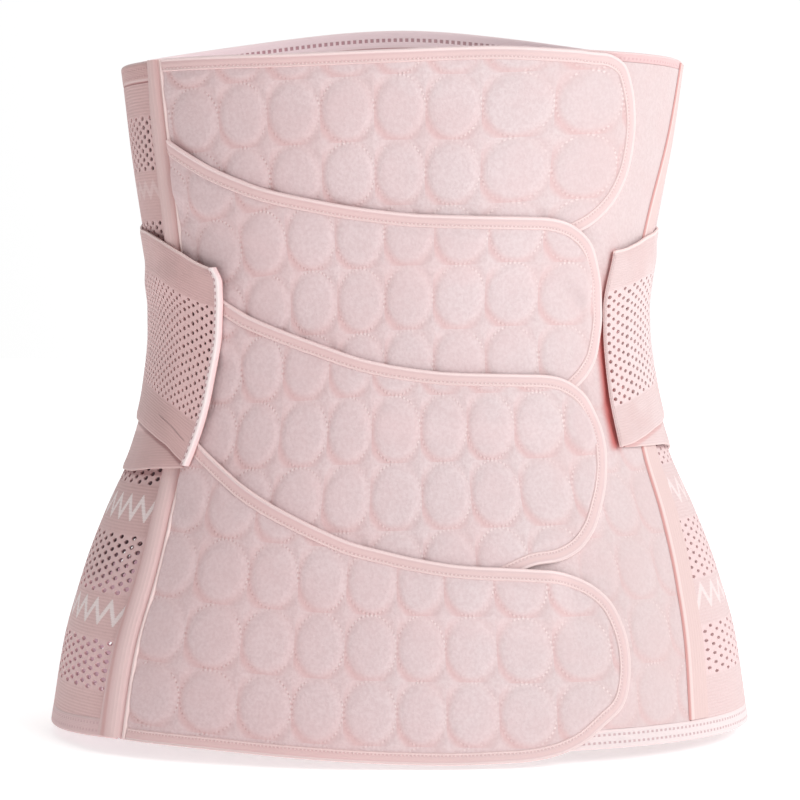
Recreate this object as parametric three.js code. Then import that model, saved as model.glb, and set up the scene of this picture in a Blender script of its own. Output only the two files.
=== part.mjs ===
// Postpartum belly binder in its worn form, standing open around an absent torso.
// Millimetres, +Z up, the front of the binder toward -Y, the origin in the middle of the waist.
import * as THREE from 'three';

// Body of the worn tube: half widths and half depths of its inner face
const rise = 120;        // waist up to the top edge
const drop = 208;        // waist down to the hem
const waistHalfWidth = 120;
const topHalfWidth = 137.5;
const hemHalfWidth = 174;
const waistHalfDepth = 88;
const topHalfDepth = 96;
const hemHalfDepth = 116;
const hemBack = 10;      // how far the hem's middle moves to the back
const roundness = 2.25;  // 2 is an ellipse, more is squarer
const backRise = 27;     // the back rim stands this much above the side rim

// Cloth
const knitWall = 1.5;
const panelWall = 1.6;
const flapWall = 2.0;
const bandWall = 1.3;
const casingWall = 2.2;
const flatCasingWall = 1.3;
const tapeWall = 1.7;
const layerGap = 0.5;    // between cloths that lie on one another
const seamGap = 0.35;    // between cloths that meet edge to edge
const bindingWidth = 6;
const casingWidth = 13;
const topTape = 10;
const rimTape = 4.5;      // the same tape where it turns along the front panel
const hemTape = 9;
const tuck = 14;         // each flap's hidden lap under the next one
const tuckRamp = 11;     // length over which a flap steps down off the one before
const bandWidth = 94;
const bandEnd = 3;       // folded end of the elastic bands

// Steps of the faceting
const frontStep = 8.8;   // degrees, along the front and the back
const sideStep = 5.4;
const rowStep = 17;

const level1 = panelWall + layerGap;
const level2 = level1 + flapWall + layerGap;
const bandLevel = level2 + flapWall + layerGap;

// A smooth curve through rows of [place, value], straight beyond its ends
function curve(rows) {
  const n = rows.length;
  const chord = rows.slice(1).map((row, i) => (row[1] - rows[i][1]) / (row[0] - rows[i][0]));
  const slope = rows.map((row, i) => {
    if (i === 0) return chord[0];
    if (i === n - 1) return chord[n - 2];
    const a = chord[i - 1], b = chord[i];
    return a * b <= 0 ? 0 : 2 * a * b / (a + b);
  });
  return (x) => {
    if (x <= rows[0][0]) return rows[0][1] + slope[0] * (x - rows[0][0]);
    if (x >= rows[n - 1][0]) return rows[n - 1][1] + slope[n - 1] * (x - rows[n - 1][0]);
    let i = 0;
    while (x > rows[i + 1][0]) i += 1;
    const w = rows[i + 1][0] - rows[i][0], t = (x - rows[i][0]) / w;
    return (1 + 2 * t) * (1 - t) ** 2 * rows[i][1] + t * (1 - t) ** 2 * w * slope[i]
      + t * t * (3 - 2 * t) * rows[i + 1][1] + t * t * (t - 1) * w * slope[i + 1];
  };
}

const radians = THREE.MathUtils.degToRad;
const lerp = THREE.MathUtils.lerp;
const clamp = THREE.MathUtils.clamp;

// A share above zero is of the rise, a share below zero is of the drop
const height = (share) => share * (share > 0 ? rise : drop);
const shareOf = (z) => z / (z > 0 ? rise : drop);
const heights = (rows) => curve(rows.map(([at, share]) => [at, height(share)]));

// How far the sides have flared from the waist: [height share, flare share]
const flare = curve([
  [-1, 1], [-0.793, 0.88], [-0.625, 0.685], [-0.48, 0.463], [-0.337, 0.217], [-0.19, 0.063],
  [-0.05, 0], [0, 0], [0.083, 0.06], [0.333, 0.335], [0.667, 0.69], [1, 1],
]);

function inner(angle, z) {
  const up = z > 0, s = flare(shareOf(z));
  const w = lerp(waistHalfWidth, up ? topHalfWidth : hemHalfWidth, s);
  const b = lerp(waistHalfDepth, up ? topHalfDepth : hemHalfDepth, s);
  const sin = Math.sin(radians(angle)), cos = Math.cos(radians(angle));
  const r = ((Math.abs(sin) / w) ** roundness + (Math.abs(cos) / b) ** roundness) ** (-1 / roundness);
  return new THREE.Vector3(r * sin, (up ? 0 : s * hemBack) - r * cos, z);
}

// A point at an angle from the front, at a height, and so far out from the inner face
function on(angle, z, out) {
  const across = inner(angle + 0.05, z).sub(inner(angle - 0.05, z));
  const along = inner(angle, z + 0.05).sub(inner(angle, z - 0.05));
  return inner(angle, z).addScaledVector(across.cross(along).normalize(), out);
}

// Millimetres per degree round the body
const perDegree = (angle, z) => inner(angle + 0.5, z).distanceTo(inner(angle - 0.5, z));

// Edges of the whole: [angle from the front, height share], the back rim rises on top of it
const rimFront = heights([
  [-180, 1.004], [-76, 1.004], [-62, 0.985], [-50, 0.978], [-35, 0.976], [0, 0.99], [16, 1], [27, 1.005],
  [48, 1], [80, 1.004], [180, 1.004],
]);
const hemFront = heights([
  [-180, -1], [-100, -1], [-80, -0.992], [-57, -0.979], [-35, -0.981], [0, -0.984], [35, -0.983], [57, -0.984], [80, -0.988], [100, -0.997], [180, -1],
]);
const wrap = (angle) => (angle > 180 ? angle - 360 : angle < -180 ? angle + 360 : angle);
const rim = (angle) => rimFront(wrap(angle)) + backRise * Math.max(0, -Math.cos(radians(angle))) ** 1.5;
const hem = (angle) => hemFront(wrap(angle));

// Upright seams: [height, angle] given as shares of rise or drop
const upright = (rows) => { const c = curve(rows); return (z) => c(shareOf(z)); };
const leftSeam = upright([
  [-1, -57], [-0.75, -56.2], [-0.57, -55], [-0.37, -56.2], [-0.15, -58.3], [0.3, -60], [1, -59.7],
]);
const rightSeam = upright([
  [-1, 60.6], [-0.79, 61.4], [-0.67, 62.4], [-0.53, 63.9], [-0.33, 65.7], [-0.1, 67.5], [0.3, 71], [0.7, 76.5], [1, 80],
]);

// A closed solid from columns of [under, upper] pairs of points
function solid(columns) {
  const rows = columns[0].length, last = columns.length - 1;
  const id = (i, j, side) => (i * rows + j) * 2 + side;
  const faces = [];
  const quad = (a, b, c, d) => faces.push(a, b, c, a, c, d);
  for (let i = 0; i < last; i += 1) {
    for (let j = 0; j < rows - 1; j += 1) {
      quad(id(i, j, 1), id(i + 1, j, 1), id(i + 1, j + 1, 1), id(i, j + 1, 1));
      quad(id(i, j, 0), id(i, j + 1, 0), id(i + 1, j + 1, 0), id(i + 1, j, 0));
    }
    quad(id(i, 0, 0), id(i + 1, 0, 0), id(i + 1, 0, 1), id(i, 0, 1));
    quad(id(i, rows - 1, 1), id(i + 1, rows - 1, 1), id(i + 1, rows - 1, 0), id(i, rows - 1, 0));
  }
  for (let j = 0; j < rows - 1; j += 1) {
    quad(id(0, j, 0), id(0, j, 1), id(0, j + 1, 1), id(0, j + 1, 0));
    quad(id(last, j, 1), id(last, j, 0), id(last, j + 1, 0), id(last, j + 1, 1));
  }
  const geometry = new THREE.BufferGeometry().setFromPoints(columns.flat(2));
  geometry.setIndex(faces);
  geometry.computeVertexNormals();
  return geometry;
}

// Cloth between two edges: at each station a list of [angle, height, under side, upper side]
const cloth = (stations, section) => solid(stations.map((at) => section(at).map(
  ([angle, z, low, high]) => [on(angle, z, low), on(angle, z, high)])));

const steps = (from, to, step) => {
  const n = Math.max(1, Math.ceil(Math.abs(to - from) / step - 0.01));
  return Array.from({ length: n + 1 }, (_, i) => lerp(from, to, i / n));
};
const rowsBetween = (count) => Array.from({ length: count + 1 }, (_, i) => i / count);

const group = new THREE.Group();
group.name = 'abdominal_binder';
function add(name, geometry, colour, roughness = 0.85) {
  const mesh = new THREE.Mesh(geometry, new THREE.MeshStandardMaterial({ color: colour, roughness, metalness: 0 }));
  mesh.name = name;
  group.add(mesh);
}

const pinkKnit = 0xd9b3ad;
const pinkCotton = 0xe6cece;
const pinkSatin = 0xe3b4b0;
const pinkElastic = 0xdfbab6;

// Stations of the front run from the left seam to where each piece's own end begins
const sharedFront = steps(-57, 39, frontStep);
const hug = (at, z, edge) => (at < -41 ? lerp(-41, edge(z), (-41 - at) / 16) : at);
const levelRows = rowsBetween(Math.round((rise + drop) / rowStep));

// Front panel, the plain under layer that the flaps are sewn to
const panelLeft = (z) => leftSeam(z) - 2;
const panelTop = (at) => rim(at) - rimTape - seamGap;
const panelEnd = steps(43, 68, 3.6);
const fitPanel = (at, z) => (at > 43 ? lerp(43, rightSeam(z), (at - 43) / 25) : hug(at, z, panelLeft));
add('front_panel', cloth([...sharedFront, ...panelEnd], (at) => levelRows.map((share) => {
  const z = lerp(hem(at) + hemTape + seamGap, panelTop(at), share);
  return [fitPanel(at, z), z, 0, panelWall];
})), pinkCotton, 0.9);

// Knit panel, one piece from the right seam round the back to the left casing
const knitLeft = (z) => leftSeam(z) - 2.6 + 360;
const knitRight = (z) => rightSeam(z) + 0.35;
const sideStations = steps(68, 94, sideStep);
const backStations = steps(94, 266, frontStep);
const leftStations = steps(266, 298, sideStep);
const round = [...sideStations, ...backStations.slice(1), ...leftStations.slice(1)];
const fit = (at, z) => (at < 94 ? lerp(94, knitRight(z), (94 - at) / 26)
  : at > 266 ? lerp(266, knitLeft(z), (at - 266) / 32) : at);
const knitRows = [0, 0.09, 0.18, 0.27, 0.34, 0.4, 0.46, 0.52, 0.575, 0.62, 0.66, 0.71, 0.78, 0.86, 0.93, 1];
add('knit_panel', cloth(round, (at) => knitRows.map((share) => {
  const z = lerp(hem(at) + hemTape + seamGap, rim(at) - topTape - seamGap, share);
  return [fit(at, z), z, 0, knitWall];
})), pinkKnit, 0.95);

// Tapes over the rim and the hem: both run on from the knit along the front panel
const tapeProfile = [[0, 0], [0.85, 0.05], [1, 0.5]];
const tape = (front, edge, width, into) => cloth([...front, ...round.slice(1)], (at) => tapeProfile.map(([share, thin]) => {
  const z = edge(at) + into * width(at) * (1 - share);
  return [at > 68 ? fit(at, z) : fitPanel(at, z), z, thin * tapeWall * 0.5 - 0.1, panelWall * (1 - thin * 0.6)];
}).sort((a, b) => a[1] - b[1]));
const rimWidth = (at) => lerp(rimTape, topTape, clamp((at - 68) / 8, 0, 1));
add('hem_tape_top', tape([...sharedFront, ...panelEnd], rim, rimWidth, -1), pinkSatin, 0.7);
add('hem_tape_bottom', tape([...sharedFront, ...panelEnd], hem, () => hemTape, 1), pinkSatin, 0.7);

// Soft casings that cover the two side seams: [share across, share of the wall]
const casingProfile = [[0, 0.5], [0.3, 1], [0.7, 1], [1, 0.5]];
function upstand(profile, bottom, top, count, from, to, low, wall) {
  return solid(rowsBetween(count).map((share) => {
    const z = lerp(top, bottom, share);
    const place = (a, out) => on(lerp(from(z), to(z), a), z, out);
    return profile.map(([a, thick]) => [place(a, low), place(a, low + wall * thick)]);
  }));
}
const across = (angle, z, width) => width / perDegree(angle, z);
const casingRows = levelRows.length - 1;
add('casing_left', upstand(casingProfile, hem(-60) + 1, rim(-62) - 1, casingRows,
  (z) => leftSeam(z) - 0.4 - across(leftSeam(z), z, casingWidth), (z) => leftSeam(z) - 0.4, level1, casingWall), pinkSatin, 0.6);
add('casing_right', upstand(casingProfile, hem(64) + 1, rim(80) - 1, casingRows,
  (z) => rightSeam(z) + 0.4, (z) => rightSeam(z) + 0.4 + across(rightSeam(z), z, casingWidth), level1, flatCasingWall), pinkKnit, 0.85);

// Flaps, each with its edge as seen from the front: top and end are [angle, height share].
// The end runs from the top right corner down and back under the next flap.
// settle gives the angles between which the flap comes down off the flap before it.
const flaps = {
  flap_1: {
    top: [[-57, 0.978], [-35, 0.974], [0, 0.988], [16, 0.998], [27, 1.003], [43, 0.998]],
    end: [[48, 0.993], [53, 0.987], [56.5, 0.955], [59, 0.88], [61, 0.77], [61.6, 0.66], [60.6, 0.53],
      [57.5, 0.42], [52.5, 0.335], [46, 0.275]],
    settle: null,
  },
  flap_2: {
    top: [[-57, 0.665], [-52, 0.6], [-46, 0.535], [-37, 0.47], [-23, 0.42], [-10, 0.388], [7, 0.365], [22, 0.36], [38, 0.357], [42, 0.35]],
    end: [[46, 0.33], [50.3, 0.28], [53.8, 0.2], [55.7, 0.12], [56.4, 0.035], [56.2, -0.02], [55.3, -0.07],
      [53.8, -0.115], [51, -0.155], [46.5, -0.195]],
    settle: [51, 55.5],
  },
  flap_3: {
    top: [[-57, 0.14], [-48, 0.035], [-42, -0.016], [-35, -0.042], [-23, -0.079], [-9, -0.115], [3, -0.132], [15, -0.142], [33, -0.147], [39, -0.149]],
    end: [[44, -0.158], [48, -0.18], [51, -0.212], [53.2, -0.25], [54.1, -0.3], [53.5, -0.352], [51.7, -0.405],
      [49.2, -0.453], [46.2, -0.503], [42.2, -0.544], [38, -0.564], [32, -0.573], [25, -0.6], [18, -0.628]],
    settle: [49.5, 53.5],
  },
  flap_4: {
    top: [[-57, -0.28], [-50, -0.332], [-42, -0.383], [-34, -0.428], [-27, -0.46], [-19, -0.493], [-12, -0.518], [-4, -0.536], [4, -0.552], [15, -0.568], [29, -0.5775], [36, -0.584]],
    end: [[40, -0.596], [43.5, -0.616], [46.6, -0.65], [48.6, -0.71], [49.1, -0.77], [48.6, -0.83], [46.8, -0.889],
      [42.8, -0.931], [39.3, -0.963], [35.5, -0.984], [31, -0.997]],
    settle: [34, 40],
  },
};
const lastHem = heights([[-57, -0.978], [-44, -0.981], [-24, -0.992], [-2, -1.003], [12, -1.006], [25, -1.003]]);

const bindingProfile = [[0, 0.9], [0.3, 1], [0.75, 1], [1, 0.62]];

Object.entries(flaps).forEach(([name, flap], index, all) => {
  const top = heights(flap.top);
  const next = all[index + 1] ? heights(all[index + 1][1].top) : null;
  const end = flap.end.map(([angle, share]) => ({ angle, z: height(share) }));
  const shared = sharedFront.filter((at) => at < end[0].angle - 2.5);
  const lastTop = shared[shared.length - 1];

  // The bound edge as a chain of points, each with the direction across it, out of the flap
  const chain = [...shared.map((at) => ({ at, angle: at, z: top(at) })), ...end,
    ...(next ? [] : shared.filter((at) => at < 28).reverse().map((at) => ({ at, angle: at, z: lastHem(at) })))]
    .map((p) => ({ ...p, m: perDegree(p.angle, p.z) }));
  chain.forEach((p, i) => {
    const a = chain[Math.max(0, i - 1)], b = chain[Math.min(chain.length - 1, i + 1)];
    const dx = (b.angle - a.angle) * p.m, dz = b.z - a.z, length = Math.hypot(dx, dz);
    if (p.at !== undefined) { p.across = 0; p.up = length / dx; } else { p.across = -dz / length; p.up = dx / length; }
    if (p.at === undefined && i < chain.length - 1) {
      const before = Math.atan2(p.z - a.z, (p.angle - a.angle) * p.m), after = Math.atan2(b.z - p.z, (b.angle - p.angle) * p.m);
      const miter = 1 / Math.cos((after - before) / 2);
      p.across *= miter; p.up *= miter;
    }
  });
  const inwards = (p, by) => ({ angle: p.angle - by * p.across / p.m, z: p.z - by * p.up });
  const widest = chain.reduce((best, p, i) => (p.angle > chain[best].angle ? i : best), 0);
  const settled = (angle) => (flap.settle ? 1 - clamp((angle - flap.settle[0]) / (flap.settle[1] - flap.settle[0]), 0, 1) : 0);
  const lift = (angle) => level1 + (level2 - level1) * settled(angle);

  // Quilted body inside the binding
  const line = chain.map((p) => inwards(p, bindingWidth + seamGap));
  const along = (points, angle) => {
    for (let i = 1; i < points.length; i += 1) {
      const a = points[i - 1], b = points[i];
      if ((angle - a.angle) * (angle - b.angle) <= 0 && a.angle !== b.angle) return lerp(a.z, b.z, (angle - a.angle) / (b.angle - a.angle));
    }
    return null;
  };
  const upperSide = line.slice(0, widest + 1);
  const lowerSide = line.slice(widest);
  const tip = Math.max(...line.map((p) => p.angle)) - 0.5;
  const bottom = (at) => {
    const low = at >= corner ? along(lowerSide, at) : null;
    if (!next) return low;
    return low === null ? next(at) - tuck : Math.max(low, next(at) - tuck);
  };
  const corner = line[line.length - 1].angle;
  const turn = Math.max(lastTop, corner + 0.1);
  const stations = [...shared.filter((at) => !next || Math.abs(at - corner) > 1), ...(corner > lastTop ? [corner - 0.9, corner + 0.1] : []),
    ...[0.3, 0.55, 0.75, 0.9, 1].map((share) => lerp(turn, tip, share))];
  const count = index === 3 ? 8 : 6;
  add(name, cloth(stations, (at) => {
    const zTop = at <= lastTop ? top(at) - (bindingWidth + seamGap) * chain[shared.indexOf(at)].up : along(upperSide, at);
    const zBottom = bottom(at);
    const h = zTop - zBottom;
    const raised = lift(at);
    const shares = rowsBetween(count);
    const rows = [];
    const lap = flap.settle ? Math.min(tuck + 2, 0.34 * h) : 0;
    const foot = flap.settle ? Math.min(tuck + 2 + tuckRamp, 0.6 * h) : 0;
    shares.forEach((share) => rows.push([lerp(zBottom, zTop - foot, share), level1]));
    if (flap.settle) { rows.push([zTop - lap, raised]); rows.push([zTop, raised]); }
    return rows.map(([z, low]) => [hug(at, z, leftSeam), z, low, low + flapWall]);
  }), pinkCotton, 0.92);

  // Folded tape round its edge
  const bound = flap.end.length > 12 ? chain.slice(0, -1) : chain;
  add(name.replace('flap', 'binding'), solid(bound.map((p, i) => {
    const base = i > widest ? level1 : lift(p.angle);
    const place = (share, out) => {
      const q = inwards(p, bindingWidth * (1 - share));
      return on(hug(q.angle, q.z, leftSeam), q.z, base + out);
    };
    return bindingProfile.map(([share, thick]) => [place(share, flapWall * (1 - thick) * 0.5), place(share, flapWall * thick + 0.1)]);
  })), pinkSatin, 0.55);
});

// Elastic bands: both run from the left tab round the back to the right tab.
// Heights of their middle line: [angle, height share], angles past 180 run on to the left side.
const middle = {
  upper: heights([[57, -0.093], [61, -0.07], [65, -0.053], [71, -0.034], [80, -0.018], [92, -0.005], [120, 0.08], [180, 0.12], [240, 0.07],
    [268, -0.025], [276, -0.038], [284, -0.046], [292, -0.062], [300, -0.09], [306, -0.118], [312, -0.141]]),
  lower: heights([[57, -0.094], [75, -0.098], [110, -0.15], [180, -0.17], [250, -0.165], [286, -0.16], [298, -0.15], [312, -0.141]]),
};
const rightEnd = 57.2;
const leftEnd = upright([[-0.37, -52.9], [-0.26, -50.9], [-0.16, -49.6], [-0.05, -48.4], [0.15, -48]]);
const onCasing = level1 + flatCasingWall + layerGap;
const onKnit = knitWall + layerGap + 0.2;
const bandOut = curve([
  [57, onCasing], [74, onCasing], [84, onKnit], [180, onKnit], [281, onKnit],
  [292.5, bandLevel - 1], [298, bandLevel + 0.4], [301, bandLevel + 0.2], [304, bandLevel], [320, bandLevel],
]);
const bandStations = [...steps(59, 94, sideStep), ...backStations.slice(1), ...steps(266, 298, sideStep).slice(1), 301, 305, 309];
const bandRows = rowsBetween(6);
const endTurn = (z) => across(leftEnd(z), z, bandEnd + seamGap);
function band(centre, lift) {
  return cloth(bandStations, (at) => bandRows.map((share) => {
    const z = centre(at) + bandWidth * (share - 0.5);
    const out = bandOut(at) + lift;
    return [at > 301 ? lerp(301, leftEnd(z) + 360 - endTurn(z), (at - 301) / 8) : at, z, out, out + bandWall];
  }));
}
add('lower_band', band(middle.lower, 0), pinkElastic, 0.9);
add('upper_band', band(middle.upper, bandWall + layerGap), pinkElastic, 0.9);


// Turned ends that hold both bands together
const endProfile = [[0, 1], [0.6, 1], [1, 0.55]];
const bandsThick = 2 * bandWall + layerGap;
const endHeight = bandWidth / 2;
add('band_end_left', upstand(endProfile, middle.upper(312) - endHeight, middle.upper(312) + endHeight, 6,
  (z) => leftEnd(z) - across(leftEnd(z), z, bandEnd), leftEnd, bandLevel, bandsThick), pinkSatin, 0.7);
add('band_end_right', upstand(endProfile.map(([a, thick]) => [1 - a, thick]).reverse(), middle.upper(57) - endHeight, middle.upper(57) + endHeight, 6,
  () => rightEnd, () => 59 - across(59, 0, seamGap), onCasing, bandsThick), pinkSatin, 0.7);

export default group;
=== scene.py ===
import bpy
import numpy as np
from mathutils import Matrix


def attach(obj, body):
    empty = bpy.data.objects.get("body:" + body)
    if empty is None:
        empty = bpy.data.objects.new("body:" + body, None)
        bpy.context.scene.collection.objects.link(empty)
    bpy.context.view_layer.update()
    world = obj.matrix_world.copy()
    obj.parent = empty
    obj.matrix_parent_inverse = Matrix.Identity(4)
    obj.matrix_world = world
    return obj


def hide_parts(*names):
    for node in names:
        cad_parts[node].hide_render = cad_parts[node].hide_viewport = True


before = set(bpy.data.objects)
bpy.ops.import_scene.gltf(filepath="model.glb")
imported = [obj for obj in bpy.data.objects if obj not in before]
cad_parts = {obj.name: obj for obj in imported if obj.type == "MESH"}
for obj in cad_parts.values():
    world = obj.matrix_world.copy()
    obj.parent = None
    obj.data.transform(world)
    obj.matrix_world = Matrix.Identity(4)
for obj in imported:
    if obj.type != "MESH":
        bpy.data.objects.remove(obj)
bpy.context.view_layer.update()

# View, surround, lamp and floor
# The camera stands 1.2 m in front of the waist and looks slightly down. A white surround, softer on
# the left, lights the cloth from everywhere, and one broad lamp from the upper right shapes it.
camera = bpy.data.objects.new("camera", bpy.data.cameras.new("camera"))
bpy.context.collection.objects.link(camera)
camera.data.lens = 108
camera.location = (0, -1.1986, 0.0109)
camera.rotation_euler = (np.radians(90 - 2.74), 0, 0)
bpy.context.scene.camera = camera
bpy.context.scene.view_settings.view_transform = "Standard"

surround = bpy.data.worlds.new("white_surround")
surround.use_nodes = True
sky = surround.node_tree
from_left = sky.nodes.new("ShaderNodeVectorMath")
from_left.operation = "DOT_PRODUCT"
from_left.inputs[1].default_value = (-0.85, -0.5, -0.15)
sky.links.new(sky.nodes.new("ShaderNodeTexCoord").outputs["Generated"], from_left.inputs[0])
softer = sky.nodes.new("ShaderNodeMapRange")
softer.interpolation_type = "SMOOTHSTEP"
for key, value in {"From Min": -0.46, "From Max": 0.55, "To Min": 1.02, "To Max": 0.2}.items():
    softer.inputs[key].default_value = value
sky.links.new(from_left.outputs["Value"], softer.inputs["Value"])
sky.nodes["Background"].inputs["Color"].default_value = (1, 1, 1, 1)
sky.links.new(softer.outputs[0], sky.nodes["Background"].inputs["Strength"])
bpy.context.scene.world = surround

lamp = bpy.data.objects.new("broad_lamp", bpy.data.lights.new("broad_lamp", "AREA"))
bpy.context.collection.objects.link(lamp)
lamp.data.size = 0.9
lamp.data.energy = 13.2
lamp.location = (1.15, -1.25, 1.0)
lamp.rotation_euler = (np.radians(62), 0, np.radians(42))

floor_height = -0.2112
floor_mesh = bpy.data.meshes.new("floor")
floor_mesh.from_pydata([(x, y, floor_height) for x, y in ((-6, -6), (6, -6), (6, 6), (-6, 6))], [], [(0, 1, 2, 3)])
floor = bpy.data.objects.new("floor", floor_mesh)
bpy.context.collection.objects.link(floor)
pale_floor = bpy.data.materials.new("pale_floor")
pale_floor.use_nodes = True
for key, value in {"Base Color": (0.93, 0.93, 0.93, 1), "Roughness": 0.9, "Emission Color": (1, 1, 1, 1),
                   "Emission Strength": 0.48}.items():
    pale_floor.node_tree.nodes["Principled BSDF"].inputs[key].default_value = value
floor.data.materials.append(pale_floor)

# Front panel
# The plain under layer of the front, brushed cotton over thin foam, from the left casing to
# the right seam. The flaps lie on it, and only its right side shows beyond their ends.
def smooth(rows):
    """Monotone cubic through (place, value) rows: a row's slope is the harmonic mean of the chords beside it, and
    beyond the ends the curve runs straight on."""
    x, y = np.array(rows, float).T
    chord = np.diff(y) / np.diff(x)
    a, b = chord[:-1], chord[1:]
    inner = np.where(a * b > 0, 2 * a * b / np.where(a + b == 0, 1, a + b), 0)
    slope = np.concatenate([chord[:1], inner, chord[-1:]])

    def value(at):
        at = np.asarray(at, float)
        i = np.clip(np.searchsorted(x, at) - 1, 0, len(x) - 2)
        w = x[i + 1] - x[i]
        t = np.clip((at - x[i]) / w, 0, 1)
        inside = ((1 + 2 * t) * (1 - t) ** 2 * y[i] + t * (1 - t) ** 2 * w * slope[i]
                  + t * t * (3 - 2 * t) * y[i + 1] + t * t * (t - 1) * w * slope[i + 1])
        return inside + slope[0] * np.minimum(at - x[0], 0) + slope[-1] * np.maximum(at - x[-1], 0)
    return value


def mix(a, b, share):
    return a + (b - a) * share


def grid(rows, columns):
    return np.meshgrid(rows, columns, indexing="ij")


def ease(share):
    """Smooth step from 0 to 1."""
    t = np.clip(share, 0, 1)
    return t * t * (3 - 2 * t)


rise, drop = 120.0, 208.0
waist_size, rim_size, hem_size = (120.0, 88.0), (137.5, 96.0), (174.0, 116.0)
roundness, front_step, back_rise = 2.25, 10, 27
left_place, left_turn, right_turn, right_place = -57, -41, 43, 68
flare = smooth([(-1, 1), (-0.793, 0.88), (-0.625, 0.685), (-0.48, 0.463), (-0.337, 0.217), (-0.19, 0.063),
                (-0.05, 0), (0, 0), (0.083, 0.06), (0.333, 0.335), (0.667, 0.69), (1, 1)])


def share_of(z):
    return z / np.where(z > 0, rise, drop)


def heights(rows):
    return smooth([(at, share * (rise if share > 0 else drop)) for at, share in rows])


def skin(angle, z):
    """Inner face of the worn tube, in mm: a superellipse whose half width and half depth flare from the waist."""
    angle, z = np.broadcast_arrays(np.asarray(angle, float), np.asarray(z, float))
    s = flare(share_of(z))
    wide, deep = (mix(waist, np.where(z > 0, top, bottom), s)
                  for waist, top, bottom in zip(waist_size, rim_size, hem_size))
    sin, cos = np.sin(np.radians(angle)), np.cos(np.radians(angle))
    r = ((np.abs(sin) / wide) ** roundness + (np.abs(cos) / deep) ** roundness) ** (-1 / roundness)
    return np.stack([r * sin, np.where(z > 0, 0.0, s * front_step) - r * cos, z], -1)


def on(angle, z, out):
    """A point so far out from the inner face, along its normal, plus the slow unevenness that worn cloth has: a sum
    of three long waves, under a millimetre, which every layer shares."""
    turn = np.radians(angle)
    waves = 0.45 * np.sin(3 * turn + z / 37) + 0.3 * np.sin(7 * turn - z / 24 + 1) + 0.2 * np.sin(11 * turn + z / 15)
    across = skin(angle + 0.05, z) - skin(angle - 0.05, z)
    along = skin(angle, z + 0.05) - skin(angle, z - 0.05)
    normal = np.cross(across, along)
    normal /= np.linalg.norm(normal, axis=-1, keepdims=True)
    return skin(angle, z) + normal * (out + waves)[..., None]


def per_degree(angle, z):
    return np.linalg.norm(skin(angle + 0.5, z) - skin(angle - 0.5, z), axis=-1)


rim_front = heights([(-180, 1.004), (-110, 1), (-84, 0.978), (-70, 0.976), (-50, 0.978), (-35, 0.976), (0, 0.99),
                     (16, 1), (27, 1.005), (48, 1), (80, 1.004), (180, 1.004)])
hem_front = heights([(-180, -1), (-100, -1), (-80, -0.992), (-57, -0.979), (-35, -0.981), (0, -0.984), (35, -0.983),
                     (57, -0.984), (80, -0.988), (100, -0.997), (180, -1)])


def rim(angle):
    turned = np.where(angle > 180, angle - 360, angle)
    return rim_front(turned) + back_rise * np.maximum(0, -np.cos(np.radians(angle))) ** 1.2


def hem(angle):
    return hem_front(np.where(angle > 180, angle - 360, angle))


left_curve = smooth([(-1, -56.3), (-0.75, -55.2), (-0.57, -54), (-0.42, -54.7), (-0.15, -58), (0.3, -60), (1, -59.7)])
right_curve = smooth([(-1, 60.6), (-0.79, 61.4), (-0.67, 62.4), (-0.53, 63.9), (-0.33, 65.7), (-0.1, 67.5),
                      (0.3, 71), (0.7, 76.5), (1, 80)])


def left_seam(z):
    return left_curve(share_of(z))


def right_seam(z):
    return right_curve(share_of(z))


def hug(at, z, edge):
    """Places beyond the left turn are spread so that the last one falls on the edge."""
    spread = mix(left_turn, edge(z), (left_turn - at) / (left_turn - left_place))
    return np.where(at < left_turn, spread, at)


def panel_fit(at, z):
    """Places on the front, spread to reach from behind the left seam to the right seam."""
    spread = mix(right_turn, right_seam(z), (at - right_turn) / (right_place - right_turn))
    return np.where(at > right_turn, spread, hug(at, z, lambda z: left_seam(z) - 2))


def put(name, points, faces, marks, finish):
    """A mesh piece from points in mm, its faces, and named vector marks for each point."""
    mesh = bpy.data.meshes.new(name)
    mesh.from_pydata((points * 0.001).tolist(), [], faces.tolist())
    for mark, values in marks.items():
        kept = mesh.attributes.new(mark, "FLOAT_VECTOR", "POINT")
        kept.data.foreach_set("vector", np.ascontiguousarray(values, np.float32).ravel())
    mesh.polygons.foreach_set("use_smooth", np.ones(len(mesh.polygons), bool))
    mesh.set_sharp_from_angle(angle=np.radians(48))
    mesh.materials.append(finish)
    piece = bpy.data.objects.new(name, mesh)
    bpy.context.collection.objects.link(piece)
    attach(piece, "root")
    return piece


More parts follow.
